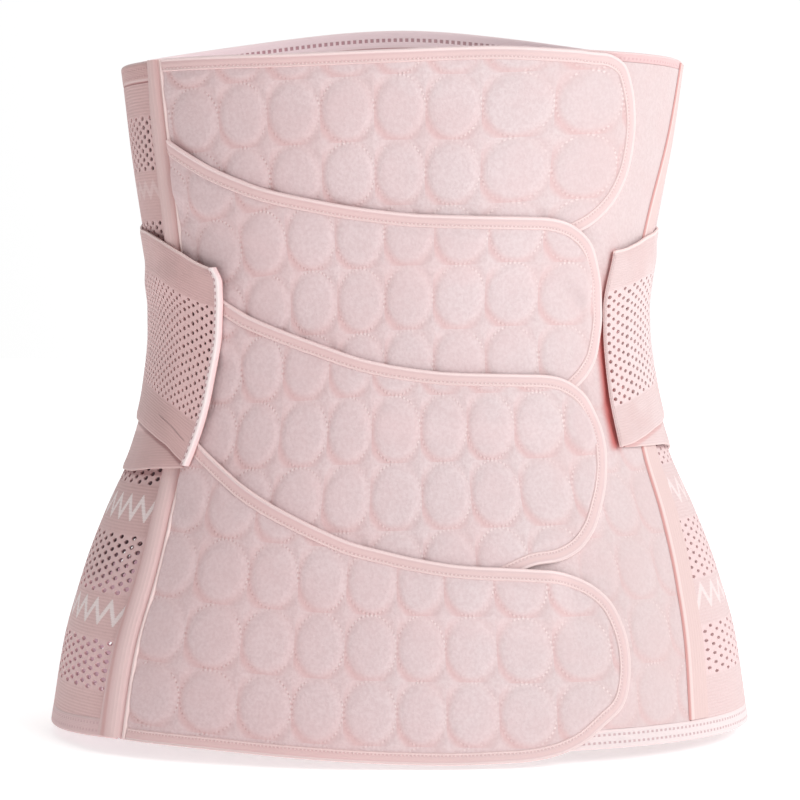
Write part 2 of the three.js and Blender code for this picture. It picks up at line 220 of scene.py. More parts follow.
def layer(name, outer, under, marks, finish, holes=None, hole=None):
    """A closed sheet from two grids of points: a quad for each cell of the outer grid, the same turned round on the
    under grid, and a strip of quads round the rim. A mark is one grid of vectors, or one for each face. At each grid
    point named in holes the four quads about it give way to a ring of eight quads round an ellipse, whose half axes
    are shares of a cell, and a wall through the cloth."""
    n, m = outer.shape[:2]
    ids = np.arange(n * m).reshape(n, m)
    i, j = grid(np.arange(n - 1), np.arange(m - 1))
    keep = np.ones((n - 1, m - 1), bool)
    if holes is not None:
        hi, hj = holes
        for a in (-1, 0):
            for b in (-1, 0):
                keep[hi + a, hj + b] = False
    i, j = i[keep], j[keep]
    top = np.stack([ids[i, j], ids[i + 1, j], ids[i + 1, j + 1], ids[i, j + 1]], -1)
    faces = [top, top[:, ::-1] + n * m]
    edge = np.concatenate([ids[:-1, 0], ids[-1, :-1], ids[:0:-1, -1], ids[0, :0:-1]])
    after = np.roll(edge, -1)
    faces.append(np.stack([after, edge, edge + n * m, after + n * m], -1))
    points = [outer.reshape(-1, 3), under.reshape(-1, 3)]
    marks = {mark: [side.reshape(-1, 3) for side in (v if isinstance(v, tuple) else (v, v))]
             for mark, v in marks.items()}
    if holes is not None:
        ring = np.array([(1, 0), (1, 1), (0, 1), (-1, 1), (-1, 0), (-1, -1), (0, -1), (1, -1)])
        turn = np.arctan2(ring[:, 1], ring[:, 0])
        wide, tall = (np.broadcast_to(np.asarray(share, float), hi.shape)[:, None] for share in hole)
        dx, dy = wide * np.cos(turn), tall * np.sin(turn)

        def lip(sheet):
            east, west, north, south = sheet[hi + 1, hj], sheet[hi - 1, hj], sheet[hi, hj + 1], sheet[hi, hj - 1]
            return (sheet[hi, hj][:, None] + dx[:, :, None] * (east - west)[:, None] / 2
                    + dy[:, :, None] * (north - south)[:, None] / 2)
        first = 2 * n * m
        count = len(hi)
        near = first + np.arange(count)[:, None] * 8 + np.arange(8)[None, :]
        far = near + count * 8
        around = ids[hi[:, None] + ring[None, :, 0], hj[:, None] + ring[None, :, 1]]
        nxt = np.roll(np.arange(8), -1)
        faces += [np.stack([around, around[:, nxt], near[:, nxt], near], -1).reshape(-1, 4),
                  np.stack([around[:, nxt] + n * m, around + n * m, far, far[:, nxt]], -1).reshape(-1, 4),
                  np.stack([near, near[:, nxt], far[:, nxt], far], -1).reshape(-1, 4)]
        points += [lip(outer).reshape(-1, 3), lip(under).reshape(-1, 3)]
        for v in marks.values():
            v += [lip(side.reshape(n, m, 3)).reshape(-1, 3) for side in v[:2]]
    faces, points = np.concatenate(faces), np.concatenate(points)
    used = np.unique(faces)
    new = np.zeros(len(points), int)
    new[used] = np.arange(len(used))
    marks = {mark: np.concatenate(v)[used] for mark, v in marks.items()}
    return put(name, points[used], new[faces], marks, finish)


class Finish:
    """A cloth finish: a material, its shader, and short calls that add and join its nodes."""

    def __init__(self, name, roughness, sheen):
        self.material = bpy.data.materials.new(name)
        self.material.use_nodes = True
        self.tree = self.material.node_tree
        self.shader = self.tree.nodes["Principled BSDF"]
        self.shader.inputs["Roughness"].default_value = roughness
        self.shader.inputs["Sheen Weight"].default_value = sheen
        self.shader.inputs["Sheen Roughness"].default_value = 0.45
        self.shader.inputs["Specular IOR Level"].default_value = 0.25

    def node(self, kind, out, inputs, **settings):
        made = self.tree.nodes.new("ShaderNode" + kind)
        for key, value in settings.items():
            setattr(made, key, value)
        for key, value in inputs.items():
            if isinstance(value, bpy.types.NodeSocket):
                self.tree.links.new(value, made.inputs[key])
            else:
                made.inputs[key].default_value = value
        return made.outputs[out]

    def calc(self, operation, *values):
        return self.node("Math", 0, dict(enumerate(values)), operation=operation)

    def times(self, first, *others):
        for other in others:
            first = self.calc("MULTIPLY", first, other)
        return first

    def plus(self, a, b):
        return self.calc("ADD", a, b)

    def less(self, a, b):
        return self.calc("SUBTRACT", a, b)

    def rest(self, value):
        """What is left to 1."""
        return self.less(1.0, value)

    def mark(self, name):
        """The three numbers of a named mark."""
        vector = self.node("Attribute", "Vector", {}, attribute_name=name)
        return [self.node("SeparateXYZ", axis, {0: vector}) for axis in "XYZ"]

    def step(self, value, low, high):
        """0 below low to 1 above high, smooth between."""
        limits = {"Value": value, "From Min": low, "From Max": high}
        return self.node("MapRange", 0, limits, interpolation_type="SMOOTHSTEP")

    def line(self, value, place, half, soft):
        """1 on a line at the place, falling to 0 past its half width."""
        off = self.calc("ABSOLUTE", self.less(value, place))
        return self.rest(self.step(off, half, half + soft))

    def wave(self, value, half):
        """From 0 to 1 over so much of the value, and back over as much again."""
        return self.calc("PINGPONG", self.calc("DIVIDE", value, half), 1.0)

    def noise(self, scale, detail=2.0):
        where = self.node("TexCoord", "Object", {})
        return self.node("TexNoise", "Fac", {"Vector": where, "Scale": scale, "Detail": detail})

    def rightward(self):
        """Metres to the right of the middle."""
        return self.node("SeparateXYZ", "X", {0: self.node("TexCoord", "Object", {})})

    def blend(self, share, a, b):
        return self.node("Mix", 2, {0: share, 6: a, 7: b}, data_type="RGBA")

    def tint(self, colour, share, *screen):
        """The colour, so far towards a screen colour."""
        return self.blend(share, colour, tone(*screen))

    def sides(self, along, right, left):
        """Painted light: a lit tone at the right seam passing to a shaded one round to the left, by mm along."""
        return self.blend(self.step(along, 20, 330), tone(*right), tone(*left))

    def done(self, colour, height):
        """Colour into the shader, and a height in mm into its bump."""
        self.tree.links.new(colour, self.shader.inputs["Base Color"])
        bump = self.node("Bump", 0, {"Height": height, "Distance": 0.001, "Strength": 1.0})
        self.tree.links.new(bump, self.shader.inputs["Normal"])
        return self.material


def tone(red, green, blue):
    """A screen colour, 0 to 255, as the shader's linear one."""
    c = np.array([red, green, blue]) / 255
    return (*np.where(c > 0.04045, ((c + 0.055) / 1.055) ** 2.4, c / 12.92), 1.0)


def quilted_finish():
    """Brushed cotton: a fine weave, soft mottling, and stitches round each circle of the quilting. The mark quilt
    counts columns and rows of circles, and its third number says how strongly they are sewn. The mark shade is a
    painted warm shadow beside the right tab. Painted light also makes the cotton paler towards the lit right and
    darker at the far right, darkens the grooves and each circle's lower left as painted shade, and makes the stitch
    lumps a painted highlight, dimmer on the shaded left."""
    f = Finish("quilted_cotton", 0.95, 0.25)
    column, row, sewn = f.mark("quilt")
    across = f.less(f.calc("FRACT", column), 0.5)
    up = f.less(f.calc("FRACT", row), 0.5)
    squares = f.plus(f.times(across, across), f.times(up, up))
    from_centre = f.times(2.0, f.calc("SQRT", squares))
    turn = f.calc("DIVIDE", f.calc("ARCTAN2", up, across), 2 * np.pi)
    stitches_round = 76.0
    stitch = f.calc("PINGPONG", f.times(turn, stitches_round), 1.0)
    x = f.rightward()
    # The shaded left side, where the stitches are painted with shade: darker dents and dimmer lumps.
    left = f.rest(f.step(x, -0.12, 0.04))
    # Painted light: the cotton is painted paler and greyer towards the lamp-lit right, and darker again at the far
    # right as painted shade.
    lit = f.step(x, -0.09, 0.06)
    far_right_shade = f.step(x, 0.03, 0.13)
    seam = f.times(f.line(from_centre, 0.98, 0.01, 0.035), sewn, f.step(f.noise(110, 1), 0.35, 0.7))
    lump = f.times(seam, f.step(stitch, 0.4, 0.75))
    dip = f.times(seam, f.rest(f.step(stitch, 0.15, 0.45)))
    # Painted shade: the quilting grooves are darkened, most on each circle's lower left, the side turned from the lamp.
    facing = f.calc("DIVIDE", f.plus(across, up), from_centre)
    lower_left = f.rest(f.step(facing, -0.65, 0.25))
    shaded = f.plus(0.08, f.times(lower_left, 0.36))
    valley_shade = f.times(f.line(from_centre, 1.03, 0.0, 0.26), sewn, shaded)
    middle = f.times(f.rest(f.step(from_centre, 0.6, 1.0)), sewn)
    # Base tones, painted paler towards the lit right.
    colour = f.blend(f.step(f.noise(620, 3), 0.3, 0.7), f.blend(lit, tone(220, 193, 194), tone(220, 200, 201)),
                     f.blend(lit, tone(229, 205, 206), tone(229, 212, 213)))
    colour = f.tint(colour, f.times(f.step(f.noise(38, 3), 0.35, 0.7), 0.3), 226, 192, 192)
    # Painted shade at the far right.
    colour = f.tint(colour, f.times(far_right_shade, 0.45), 205, 185, 183)
    colour = f.tint(colour, f.times(middle, 0.12), 214, 194, 198)
    # Painted shade in the quilting grooves.
    colour = f.tint(colour, valley_shade, 216, 168, 166)
    # Stitch dents: darker, and much darker on the shaded left as painted shade.
    colour = f.tint(colour, f.times(dip, f.plus(0.12, f.times(left, 0.45))), 196, 140, 138)
    # Stitch lumps: a painted highlight, dimmer on each circle's lower left and on the shaded left.
    lump_highlight = f.less(f.less(0.6, f.times(lower_left, 0.3)), f.times(left, 0.25))
    colour = f.tint(colour, f.times(lump, lump_highlight), 248, 230, 228)
    # Painted warm shadow on the panel beside the right tab, from the mark shade.
    colour = f.tint(colour, f.mark("shade")[0], 200, 112, 108)
    height = f.plus(f.times(f.less(lump, dip), 0.11), f.times(f.noise(900, 3), 0.2))
    return f.done(colour, height)


quilted_cotton = quilted_finish()


def pillow(column, row):
    """Height share of the quilting: low on the circles' stitch lines, full inside them and in the stars between."""
    across, up = column - np.floor(column) - 0.5, row - np.floor(row) - 0.5
    r = 2 * np.hypot(across, up)
    return (1 - np.exp(-((r - 1) / 0.17) ** 2)) * np.where(r < 1, 0.8 + 0.2 * (1 - r * r), 0.75)


places = np.concatenate([np.linspace(left_place, 38, 26), np.linspace(39, right_place, 58)])
at, share = grid(places, np.linspace(0, 1, 150))
z = mix(hem(at) + 9.1, rim(at) - 4.6, share)
angle = panel_fit(at, z)
column, row = (angle - 50.2) / 8.4, (z + 166.3) / 29.5
sewn = ease((-20 - z) / 25) * ease((at - 41) / 2)
relief = mix(1, pillow(column, row), sewn * ease((right_place - at) / 3))
# The mark shade: a painted warm shadow on the panel beside the right tab's end, fading out upwards.
tab_end, shade_wide = 57.5, 5.5
painted_tab_shadow = (ease(1 - np.abs(tab_end - angle) * per_degree(angle, z) / shade_wide) * ease((28 - z) / 50)
              * ease((z + 69) / 4))
front_panel = layer("front_panel_cloth", on(angle, z, 1.05 + 0.55 * relief), on(angle, z, 0.0 * z),
                    {"quilt": np.stack([column, row, sewn * 0.6], -1), "shade": np.stack([painted_tab_shadow] * 3, -1)},
                    quilted_cotton)
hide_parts("front_panel")

# Knit panel
# One stretch-knit wall from the right seam round the back to the left casing, in two pieces that meet
# at the middle of the back. It has open mesh bands, ribbed bands and white zigzag bands knitted in.
upper_middle = heights([(57, -0.094), (61, -0.088), (65, -0.076), (71, -0.059), (80, -0.044), (92, -0.03),
                        (120, 0.07), (180, 0.12), (240, 0.07), (268, -0.025), (276, -0.038), (284, -0.046),
                        (292, -0.062), (300, -0.09), (306, -0.118), (312, -0.141)])
lower_middle = heights([(57, -0.094), (75, -0.098), (110, -0.15), (180, -0.17), (250, -0.165), (286, -0.16),
                        (298, -0.15), (312, -0.141)])
band_half = 47
mesh_bands = [(65.0, 92.0), (-84.5, 43.0), (-137.5, -109.5), (-183.0, -159.0)]
zigzags = [(56.5, 4.4, 0.25), (-96.8, 6.0, 0.92), (-146.3, 6.0, 0.92)]


def knit_finish():
    """Ribbed stretch knit. The mark cloth holds mm along, the pattern's height in mm, and how open the mesh is, or
    on the inner face how dark it is painted, as painted shade where the mesh shows the inside. The mark near holds
    mm below the lower band and mm above the upper one, for a painted shadow line along each band. A zigzag has its
    height, its half height and its strength. The tones pass from lit on the right to shaded on the left, and the knit
    is painted lighter low down on the left, as painted light."""
    f = Finish("stretch_knit", 0.9, 0.3)
    along, high, mesh = f.mark("cloth")
    to_left = f.step(along, 200.0, 400.0)
    # Painted light: a lit tone on the right, a shaded tone on the left.
    colour = f.sides(along, (222, 198, 197), (221, 182, 180))
    # Painted light: the knit is painted lighter towards the bottom on the left.
    low = f.times(f.rest(f.step(high, -180.0, -60.0)), to_left)
    colour = f.tint(colour, f.times(low, 0.8), 241, 204, 202)
    rib = f.wave(high, 0.75)
    wale = f.wave(along, 0.45)
    solid = f.line(mesh, 0.0, 0.1, 0.5)
    colour = f.tint(colour, f.times(rib, solid, 0.14), 200, 158, 156)
    colour = f.tint(colour, f.times(f.step(f.noise(700, 1), 0.5, 0.8), 0.2), 200, 158, 157)
    colour = f.tint(colour, f.times(f.step(mesh, 0.3, 0.9), 0.35), 238, 206, 206)
    zigzag = 0.0
    course = f.times(f.calc("FLOOR", f.calc("DIVIDE", high, 0.9)), 0.9)
    for place, tall, strong in zigzags:
        swing = f.times(f.less(f.wave(along, 4.4), 0.5), 2 * tall - 3.0)
        off = f.less(course, place)
        stripe = f.line(f.less(off, swing), 0.0, 1.5, 1.6)
        inside = f.times(f.line(off, 0.0, tall, 0.8), strong)
        zigzag = f.calc("MAXIMUM", zigzag, f.times(stripe, inside))
    zigzag = f.times(zigzag, f.plus(0.5, f.times(to_left, 0.5)))
    colour = f.tint(colour, zigzag, 253, 237, 236)
    # Painted shadow lines just below the lower band and just above the upper band.
    under_low, over_high, _ = f.mark("near")
    shadow = f.calc("MAXIMUM", f.line(under_low, 0.0, 0.6, 1.5), f.line(over_high, 0.0, 0.4, 1.2))
    colour = f.tint(colour, f.times(shadow, 0.6), 150, 96, 98)
    # Painted shade: the inner face is painted near black where the mesh shows the inside, and lilac lower down.
    inside = f.blend(f.step(high, -137.0, -125.0), tone(226, 194, 206), tone(60, 28, 36))
    colour = f.blend(f.step(mesh, 1.0, 3.0), colour, inside)
    height = f.plus(f.times(rib, solid, 0.1), f.times(wale, 0.1))
    return f.done(colour, f.plus(height, f.times(zigzag, 0.25)))


stretch_knit = knit_finish()


def arc_places(first, last, z, step, wider=lambda angle: 1 + 0 * angle):
    """Angles and mm along the body at a height, in an even number of steps: each is the given length in mm times how
    much wider the steps are there."""
    fine = np.linspace(first, last, 2000)
    middle = (fine[1:] + fine[:-1]) / 2
    length = per_degree(middle, z + 0 * middle) * np.diff(fine)
    run, steps = (np.concatenate([[0], np.cumsum(part)]) for part in (length, length / wider(middle) / step))
    even = np.linspace(0, steps[-1], 2 * int(round(steps[-1] / 2)) + 1)
    return np.interp(even, steps, fine), np.interp(even, steps, run)


seam_z, column_step = -60.0, 1.98
knit_start, back_middle, knit_end = 68, 180, 298


def knit_fit(at, z):
    """Places on the wall, spread near its ends to reach from the right seam to behind the left seam."""
    near = mix(94, right_seam(z) + 0.35, (94 - at) / (94 - knit_start))
    far = mix(266, left_seam(z) - 2.6 + 360, (at - 266) / (knit_end - 266))
    return np.where(at < 94, near, np.where(at > 266, far, at))


def knit_side(name, first, last, phase):
    """Half the wall: fixed rows 2.159 mm apart between the top and bottom bands, which stretch to the edges. The
    pattern climbs 7 mm towards the right seam, and the holes grow towards the left. On the inner face the mark cloth
    paints it dark round to the left, as painted shade where the front mesh shows it."""
    places, run = arc_places(first, last, seam_z, column_step)
    at, j = grid(places, np.arange(145))
    along = np.broadcast_to(run[:, None], at.shape) + phase
    first_row, last_row, z_first, z_last = 4, 136, -190, 95.0
    z = z_first + (j - first_row) * (z_last - z_first) / (last_row - first_row)
    low, high = hem(at) + 9.1, rim(at) - 10.1
    z = np.where(j < first_row, mix(low, z_first, j / first_row),
                 np.where(j > last_row, mix(z_last, high, (j - last_row) / 8), z))
    angle = knit_fit(at, z)
    pattern = z - 7 * ease((170 - at) / 90) * ease(-z / 60)
    open_zone = np.zeros(z.shape, bool)
    for low, high in mesh_bands:
        open_zone |= (pattern > low) & (pattern < high)
    behind = (z < upper_middle(at) + 42) & (z > lower_middle(at) - 42)
    near_band = behind & (at > 62) & (at < 296)
    i = np.arange(at.shape[0])[:, None]
    wanted = open_zone & ~near_band & (i % 2 == 1) & ((j + (i // 2)) % 2 == 0)
    wanted[:1], wanted[-1:], wanted[:, :2], wanted[:, -2:] = False, False, False, False
    cloth = np.stack([along, pattern, open_zone.astype(float)], -1)
    # mm to the bands' edges, where the painted shadow lines run.
    near = np.stack([lower_middle(at) - band_half - z, z - upper_middle(at) - band_half, 0 * z], -1)
    # Painted shade on the inner face: dark round to the left and below the top, where the mesh shows it.
    dark = np.where(z < 100, 1 + 2 * ease((at - 195) / 32) * ease((100 - z) / 14), 0.0)
    hi, hj = np.nonzero(wanted)
    stretch = ((at[hi, hj] - 68) / 230) ** 2
    piece = layer(name, on(angle, z, 1.5 + 0 * z), on(angle, z, 0 * z),
                  {"cloth": (cloth, np.stack([along, pattern, dark], -1)), "near": near},
                  stretch_knit, (hi, hj), (0.58 + 0.22 * stretch, 0.38 + 0.18 * stretch))
    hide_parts("knit_panel")
    return piece


knit_right = knit_side("knit_wall_right", knit_start, back_middle, 0.0)
right_length = arc_places(knit_start, back_middle, seam_z, column_step)[1][-1]
knit_left = knit_side("knit_wall_left", back_middle, knit_end, right_length)

# Hem tapes
# Elastic tapes folded over the rim and the hem and sewn down with two rows of stitches. On the front
# panel the rim's tape is narrower, where the cloth itself is turned and bound.
def tape_finish(name, on_knit, pale_front):
    """Woven tape. The mark edge holds mm along, mm in from the fold, and what the tape binds: 0 the panel, 1 the
    knit, 2 the inner face. It is painted paler on the knit at the lit right, and on the front too where pale_front
    is 1, and paler on the inner face, as painted light; a dark line along its inner edge on the knit is a painted
    shadow. Inside it shows one row of large stitches."""
    f = Finish(name, 0.75, 0.2)
    along, inward, bound = f.mark("edge")
    # Painted light: the tape is painted paler round the lit right.
    beyond = f.times(f.step(along, 60, 240), f.rest(f.step(along, 420, 650)))
    knitted, inner = f.step(bound, 0.2, 0.8), f.step(bound, 1.2, 1.8)
    beyond = f.times(beyond, f.calc("MAXIMUM", knitted, pale_front))
    colour = f.tint(tone(224, 190, 190), knitted, *on_knit)
    colour = f.tint(colour, beyond, 230, 216, 216)
    # Painted light: the inner face is painted lighter, where little light reaches it.
    colour = f.tint(colour, inner, 255, 234, 238)
    pale = f.calc("MAXIMUM", f.line(inward, 8.6, 0.3, 0.6), f.line(inward, 0.3, 0.3, 0.5))
    colour = f.tint(colour, f.times(pale, 0.4), 243, 222, 221)
    # Painted shadow: a dark line along the tape's inner edge on the knit.
    colour = f.tint(colour, f.times(f.line(inward, 9.8, 0.35, 0.4), knitted, 0.7), 172, 112, 112)
    dot = f.step(f.wave(along, 1.3), 0.35, 0.7)
    rows = f.calc("MAXIMUM", f.line(inward, 3.0, 0.35, 0.35), f.line(inward, 6.6, 0.35, 0.35))
    holes = f.times(rows, dot, f.plus(0.25, f.times(beyond, 0.4)))
    holes = f.times(holes, f.rest(inner))
    large = f.times(f.line(inward, 5.3, 0.7, 0.5), f.step(f.wave(along, 1.55), 0.3, 0.6))
    holes = f.plus(holes, f.times(large, inner, 0.85))
    # Stitch holes, painted lighter on the lit right.
    colour = f.blend(holes, colour, f.blend(beyond, tone(188, 128, 140), tone(190, 150, 154)))
    weave = f.wave(inward, 0.4)
    return f.done(colour, f.less(f.times(weave, 0.06), f.times(holes, 0.3)))


def edge_tape(name, edge, width, into, finish):
    """The tape's profile across, a flat strip rounded over at the fold, carried along the edge all the way round."""
    places = np.concatenate([np.linspace(left_place, knit_start, 130), np.linspace(68.6, knit_end, 190)])
    profile = [0, 0.06, 0.15, 0.3, 0.4, 0.5, 0.62, 0.74, 0.84, 0.91, 0.96, 1]
    at, across = grid(places, profile)
    wide = width(at)
    z = edge(at) + into * wide * (1 - across)
    angle = np.where(at > knit_start, knit_fit(at, z), panel_fit(at, z))
    fold = np.sqrt(np.clip(1 - ((across - 0.84) / 0.16).clip(0, 1) ** 2, 0, 1))
    high = 0.75 + 0.85 * np.minimum(fold, 0.6 + 0.4 * np.minimum(1, across / 0.15))
    middle_line = skin(angle[:, 0], z[:, 0])
    run = np.concatenate([[0], np.cumsum(np.linalg.norm(np.diff(middle_line, axis=0), axis=1))])
    marks = [np.stack([np.broadcast_to(run[:, None], z.shape), wide * (1 - across), bound + 0 * z], -1)
             for bound in (ease((at - 66) / 6), 2)]
    outer, under = on(angle, z, high), on(angle, z, 0.7 - 0.8 * fold)
    if into > 0:
        outer, under, marks = outer[:, ::-1], under[:, ::-1], [m[:, ::-1] for m in marks]
    return layer(name, outer, under, {"edge": tuple(marks)}, finish)


rim_finish = tape_finish("woven_rim_tape", (214, 175, 172), 0.0)
rim_tape = edge_tape("rim_tape", rim, lambda at: mix(4.5, 10.0, np.clip((at - knit_start) / 8, 0, 1)), -1, rim_finish)
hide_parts("hem_tape_top")
hem_finish = tape_finish("woven_hem_tape", (238, 205, 205), 1.0)
hem_tape = edge_tape("hem_tape", hem, lambda at: 9.0 + 0 * at, 1, hem_finish)
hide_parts("hem_tape_bottom")

# Side casings
# Upright satin casings that cover the side seams. The left one is a soft padded tube with a thin
# piping along the front, and the right one lies flat, sewn down along both edges.
def casing_finish(name, low, high, line, ridge, groove, warmth, back):
    """Satin with a soft grain along it, a pale ridge (its place and half width), a warm groove and a warm back edge
    at their mm across, which are painted shade, and a painted highlight six mm in from the back edge, down the middle
    of the tube. It passes from the tone low at the bottom to the tone high above, as painted light. The mark strip
    holds mm along, mm across from the front edge, and the full width."""
    f = Finish(name, 0.55, 0.15)
    along, across, _ = f.mark("strip")
    # Painted light: the left casing is painted lighter towards the bottom.
    colour = f.blend(f.step(along, -190.0, 60.0), tone(*low), tone(*high))
    # Painted highlight down the middle of the tube.
    colour = f.tint(colour, f.times(f.line(across, back - 6.0, 0.5, 4.5), 0.3), *line)
    ribs = f.wave(across, 0.9)
    colour = f.tint(colour, f.times(ribs, 0.08), *line)
    colour = f.tint(colour, f.times(f.line(across, *ridge, 0.6), 0.8), *line)
    # Painted shade: a warm tone in the groove and along the back edge.
    warm = f.calc("MAXIMUM", f.times(f.line(across, groove, 0.25, 0.8), warmth),
                  f.times(f.line(across, back, 0.2, 2.2), 0.5))
    colour = f.tint(colour, warm, 212, 154, 150)
    return f.done(colour, f.plus(f.times(ribs, 0.08), f.times(f.noise(900, 2), 0.06)))


def upright_strip(name, finish, bottom, top, edge, side, width, base, profile, thick):
    """A strip's profile across, from its front edge, carried up the seam."""
    z, across = grid(np.linspace(*(bottom, top)[::-side], 120), profile)
    wide = width(z)
    angle = edge(z) + side * wide * across / per_degree(edge(z), z)
    marks = np.stack([z, wide * across, wide], -1)
    outer, under = on(angle, z, base + thick(across)), on(angle, z, base + 0 * z)
    return layer(name, outer, under, {"strip": marks}, finish)


def tube(across):
    """A rounded tube over the back nine tenths, a groove, and a thin piping at the front edge."""
    piping = 2.0 * np.sqrt(np.clip(1 - ((across - 0.08) / 0.09) ** 2, 0, 1))
    round_part = 3.2 * np.sqrt(np.clip(1 - ((across - 0.58) / 0.43) ** 2, 0, 1))
    return np.maximum(np.maximum(piping, round_part), 0.5)


casing_width = 13.3


def left_width(z):
    """Widest at the hem and narrowest at the rim."""
    return casing_width * (1 + 0.38 * np.clip((-90 - z) / 112, 0, 1) - 0.22 * ease((z - 80) / 40))


# Left casing: painted lighter low down, a painted highlight down the tube, and a little painted shade in the groove.
satin_casing = casing_finish("satin_casing", (234, 199, 198), (216, 178, 176), (250, 228, 225), (0.9, 1.0), 2.6, 0.15,
                             casing_width)
left_casing = upright_strip("left_casing", satin_casing, -202.6, 117.2, lambda z: left_seam(z) - 0.06, -1,
                            left_width, 2.1, np.linspace(0, 1, 31), tube)
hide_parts("casing_left")


def flat_casing(across):
    """Flat and thin, with a soft bead along each edge where it is sewn down."""
    bead = np.exp(-((across - 0.07) / 0.06) ** 2) + np.exp(-((across - 0.93) / 0.06) ** 2)
    return (0.55 + 0.12 * bead) * np.minimum(1, 0.1 + across / 0.09)


# Right casing: a strong painted warm shadow along its front edge.
knit_casing = casing_finish("knit_casing", (220, 193, 190), (220, 193, 190), (236, 210, 207), (2.4, 0.6), 0.4, 0.95, -9)
flat_profile = np.concatenate([[0, 0.03, 0.06], np.linspace(0.09, 1, 12)])
right_casing = upright_strip("right_casing", knit_casing, -195.4, 119.2, lambda z: right_seam(z) - 0.25, 1,
                             lambda z: 13.4 + 0 * z, 1.75, flat_profile, flat_casing)
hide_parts("casing_right")

# Flaps
# Four quilted cotton flaps over thin foam, sewn in at the left casing, each with a rounded right end.
# Each lies on the lower part of the one above it. Their circles are stitched in straight rows.
flap_tops = [
    heights([(-57, 0.978), (-35, 0.974), (0, 0.988), (16, 0.998), (27, 1.003), (43, 0.998)]),
    heights([(-57, 0.665), (-52, 0.6), (-46, 0.535), (-37, 0.47), (-23, 0.42), (-10, 0.388), (7, 0.365), (22, 0.36),
             (38, 0.357), (42, 0.35)]),
    heights([(-57, 0.14), (-48, 0.035), (-42, -0.016), (-35, -0.042), (-23, -0.079), (-9, -0.115), (3, -0.132),
             (15, -0.142), (33, -0.147), (39, -0.149)]),
    heights([(-57, -0.28), (-50, -0.332), (-42, -0.383), (-34, -0.428), (-27, -0.46), (-19, -0.493), (-12, -0.518),
             (-4, -0.536), (4, -0.552), (15, -0.568), (29, -0.5775), (36, -0.584)]),
]
flap_ends = [
    [(48, 0.993), (53, 0.987), (56.5, 0.955), (59, 0.88), (61, 0.77), (61.6, 0.66), (60.6, 0.53), (57.5, 0.42),
     (52.5, 0.335), (46, 0.275)],
    [(46, 0.33), (50.3, 0.28), (53.8, 0.2), (55.8, 0.12), (56.7, 0.035), (56.9, -0.02), (56.1, -0.07),
     (54.6, -0.115), (51.5, -0.155), (46.5, -0.195)],
    [(44, -0.158), (48, -0.18), (51, -0.212), (53.2, -0.25), (54.1, -0.3), (53.5, -0.352), (51.7, -0.405),
     (49.2, -0.453), (46.2, -0.503), (42.2, -0.544), (38, -0.564), (32, -0.573), (25, -0.6)],
    [(40, -0.596), (43.5, -0.616), (46.6, -0.65), (48.6, -0.71), (49.1, -0.77), (48.6, -0.83), (46.8, -0.889),
     (42.8, -0.931), (39.3, -0.963), (35.5, -0.984), (31, -0.997)],
]
settles = [None, (51, 55.5), (49.5, 53.5), (34, 40)]
last_hem = heights([(-57, -0.978), (-44, -0.981), (-24, -0.992), (-2, -1.003), (12, -1.006), (25, -1.003)])
columns = [
    smooth([(-58.9, 0), (-46.7, 1), (-34.8, 2), (-21.4, 3), (-7.1, 4), (7, 5), (22, 6), (40, 7), (57.3, 8)]),
    smooth([(-55.9, 0), (-43.4, 1), (-31.2, 2), (-18.3, 3), (-4.6, 4), (9.7, 5), (24.4, 6), (38.7, 7), (52.9, 8)]),
    smooth([(-54.5, 0), (-43.6, 1), (-32.6, 2), (-20.2, 3), (-8, 4), (5.8, 5), (18.6, 6), (30.9, 7), (43.3, 8)]),
    smooth([(-57.5, 0), (-46.5, 1), (-35.1, 2), (-24, 3), (-12.8, 4), (-0.8, 5), (10.5, 6), (22, 7), (33.8, 8),
            (45.5, 9)]),
]
row_lines = [
    smooth([(-52.6, 73.1), (-40.5, 74.6), (-27.8, 75.4), (-14.2, 76.4), (0, 77.6), (15, 77.7), (31.7, 79.2),
            (50.3, 81.5)]),
    smooth([(-50, 11.5), (-37, 15.6), (-25, 17.8), (-12.3, 18.6), (2.3, 20.4), (17.5, 20.7), (32, 22.1),
            (43.6, 22.2)]),
    smooth([(-50, -76.5), (-38, -75), (-26, -73.7), (-14, -72.1), (0, -71.3), (12, -70.8), (25, -70.1),
            (38, -69.8), (48, -69.3)]),
    smooth([(-51.3, -165.4), (-40.3, -167.1), (-29.1, -168.4), (-17.8, -169.5), (-6.6, -170.2), (17.1, -171.2),
            (28, -172.2), (39.9, -172.5)]),
]
row_tall = [29.7, 30.0, 31.0, 29.8]
last_flap, flap_base, lap = 3, 2.1, 14


